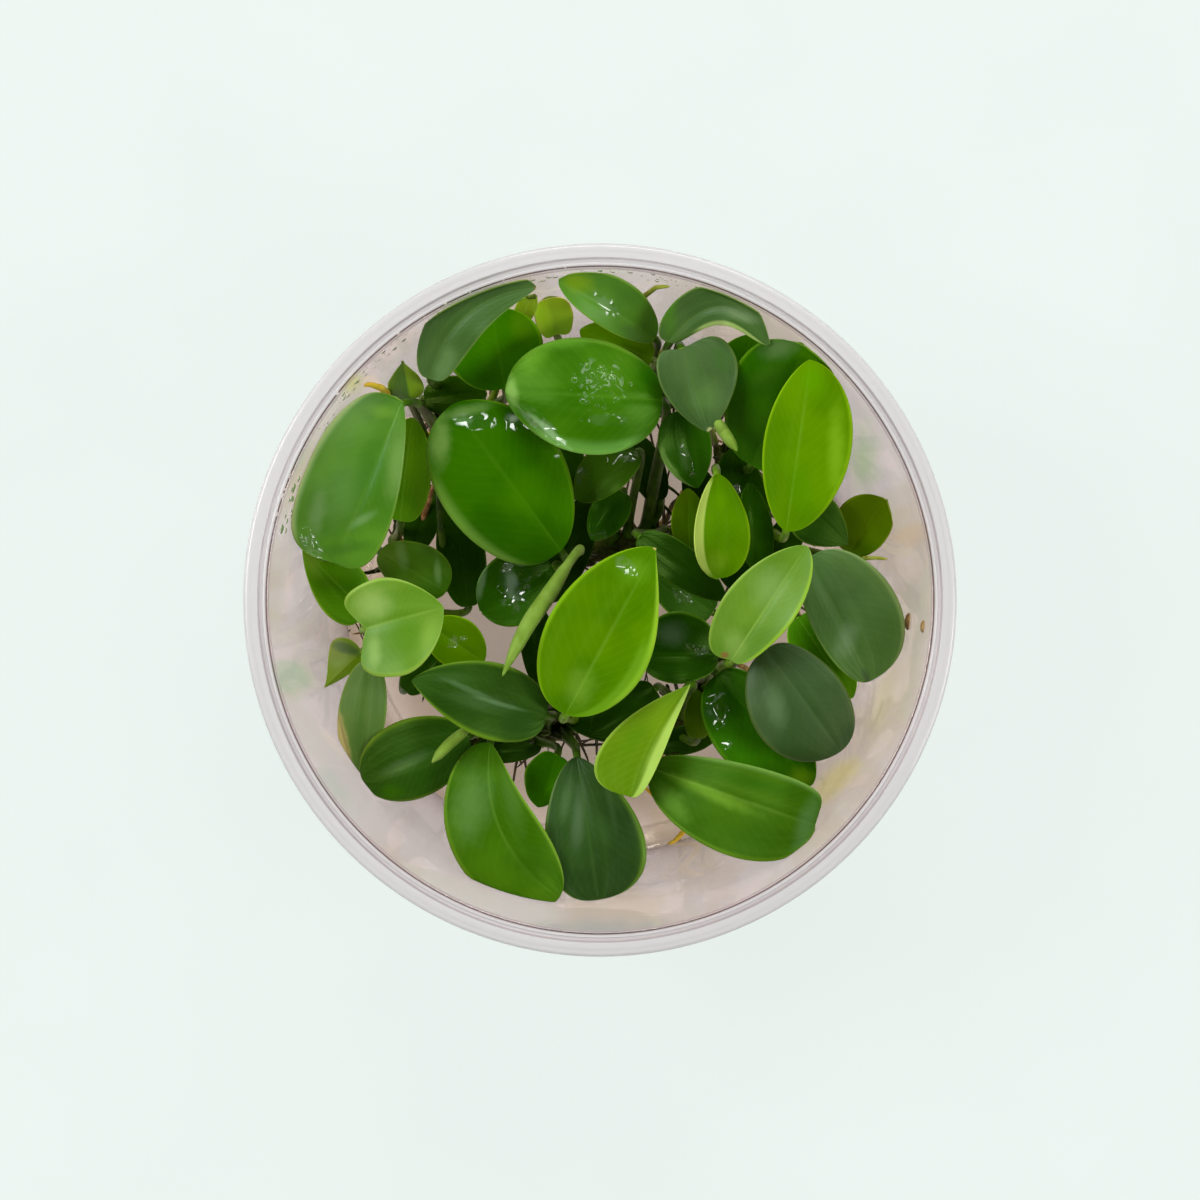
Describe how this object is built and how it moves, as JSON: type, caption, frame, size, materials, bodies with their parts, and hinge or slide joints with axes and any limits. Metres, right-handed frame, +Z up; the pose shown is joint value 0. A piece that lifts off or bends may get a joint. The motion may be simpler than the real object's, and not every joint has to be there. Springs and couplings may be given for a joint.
{
  "type": "potted anubias plantlets",
  "caption": "Round clear lidless cup of broad-leaved anubias plantlets rooted in clear gel; stalked oval leaves fill it up to the stepped rim.",
  "frame": {"origin": "centre of the cup's foot, on the surface it stands on", "axes": "+Z up along the cup's axis, +Y towards the top of the picture, +X to its right"},
  "size_m": [0.1, 0.1, 0.062],
  "materials": {
    "clear_plastic": "clear, thin, slightly hazy at the rim",
    "gel": "clear wet gel, faintly tinted",
    "leaf_deep": "dark green waxy leaf, glossy",
    "leaf_mid": "green waxy leaf, glossy",
    "leaf_lime": "young lime green leaf, semi-gloss",
    "leaf_grey": "green leaf with a grey satin sheen",
    "rhizome": "olive brown creeping stem and pale roots"
  },
  "bodies": {
    "root": {"cup": "clear_plastic", "agar_gel": "gel", "rhizome_centre": "rhizome", "rhizome_lower": "rhizome", "rhizome_top": "rhizome", "rhizome_upper_left": "rhizome", "rhizome_left": "rhizome", "rhizome_lower_right": "rhizome", "rhizome_right": "rhizome", "leaf_upper_left_outer": "leaf_grey", "leaf_upper_left_inner": "leaf_mid", "leaf_top_small_upright": "leaf_lime", "leaf_top_bright": "leaf_mid", "leaf_top_tucked": "leaf_mid", "leaf_top_centre": "leaf_grey", "leaf_centre_left_large": "leaf_mid", "leaf_left_large": "leaf_grey", "leaf_left_small_folded": "leaf_mid", "leaf_left_olive": "leaf_mid", "leaf_left_dark_round": "leaf_deep", "leaf_left_lime_heart": "leaf_lime", "leaf_left_pointed": "leaf_mid", "leaf_left_low_folded": "leaf_mid", "leaf_lower_left_yellowed": "leaf_mid", "leaf_lower_left_dark": "leaf_deep", "leaf_centre_left_dark": "leaf_deep", "leaf_left_inner_bright": "leaf_mid", "leaf_centre_glossy": "leaf_deep", "leaf_centre_bright": "leaf_lime", "leaf_bottom_dark": "leaf_deep", "leaf_bottom_left": "leaf_mid", "leaf_bottom_wavy": "leaf_mid", "leaf_bottom_lime_folded": "leaf_lime", "leaf_bottom_right_large": "leaf_mid", "leaf_right_low_dark": "leaf_deep", "leaf_right_grey": "leaf_grey", "leaf_right_light": "leaf_lime", "leaf_right_lime": "leaf_lime", "leaf_upper_right_dark": "leaf_deep", "leaf_top_heart": "leaf_grey", "leaf_top_small_dark": "leaf_deep", "leaf_centre_right_lime": "leaf_lime", "leaf_top_right_curled": "leaf_grey", "leaf_top_right_hidden": "leaf_deep", "leaf_centre_top_olive": "leaf_mid", "leaf_centre_small_dark": "leaf_deep", "leaf_inner_right_strip": "leaf_deep", "leaf_inner_right_long": "leaf_deep", "leaf_inner_right_low": "leaf_deep", "leaf_inner_right_black": "leaf_deep", "leaf_inner_lower_dark": "leaf_deep", "leaf_lower_right_olive": "leaf_mid", "leaf_lower_right_glossy": "leaf_deep", "leaf_right_strip": "leaf_mid", "leaf_right_pointed": "leaf_deep", "leaf_right_olive": "leaf_mid", "leaf_inner_right_deep": "leaf_deep", "furled_leaf_centre": "leaf_lime", "furled_leaf_left": "leaf_lime", "furled_leaf_right": "leaf_lime"}
  },
  "joints": []
}
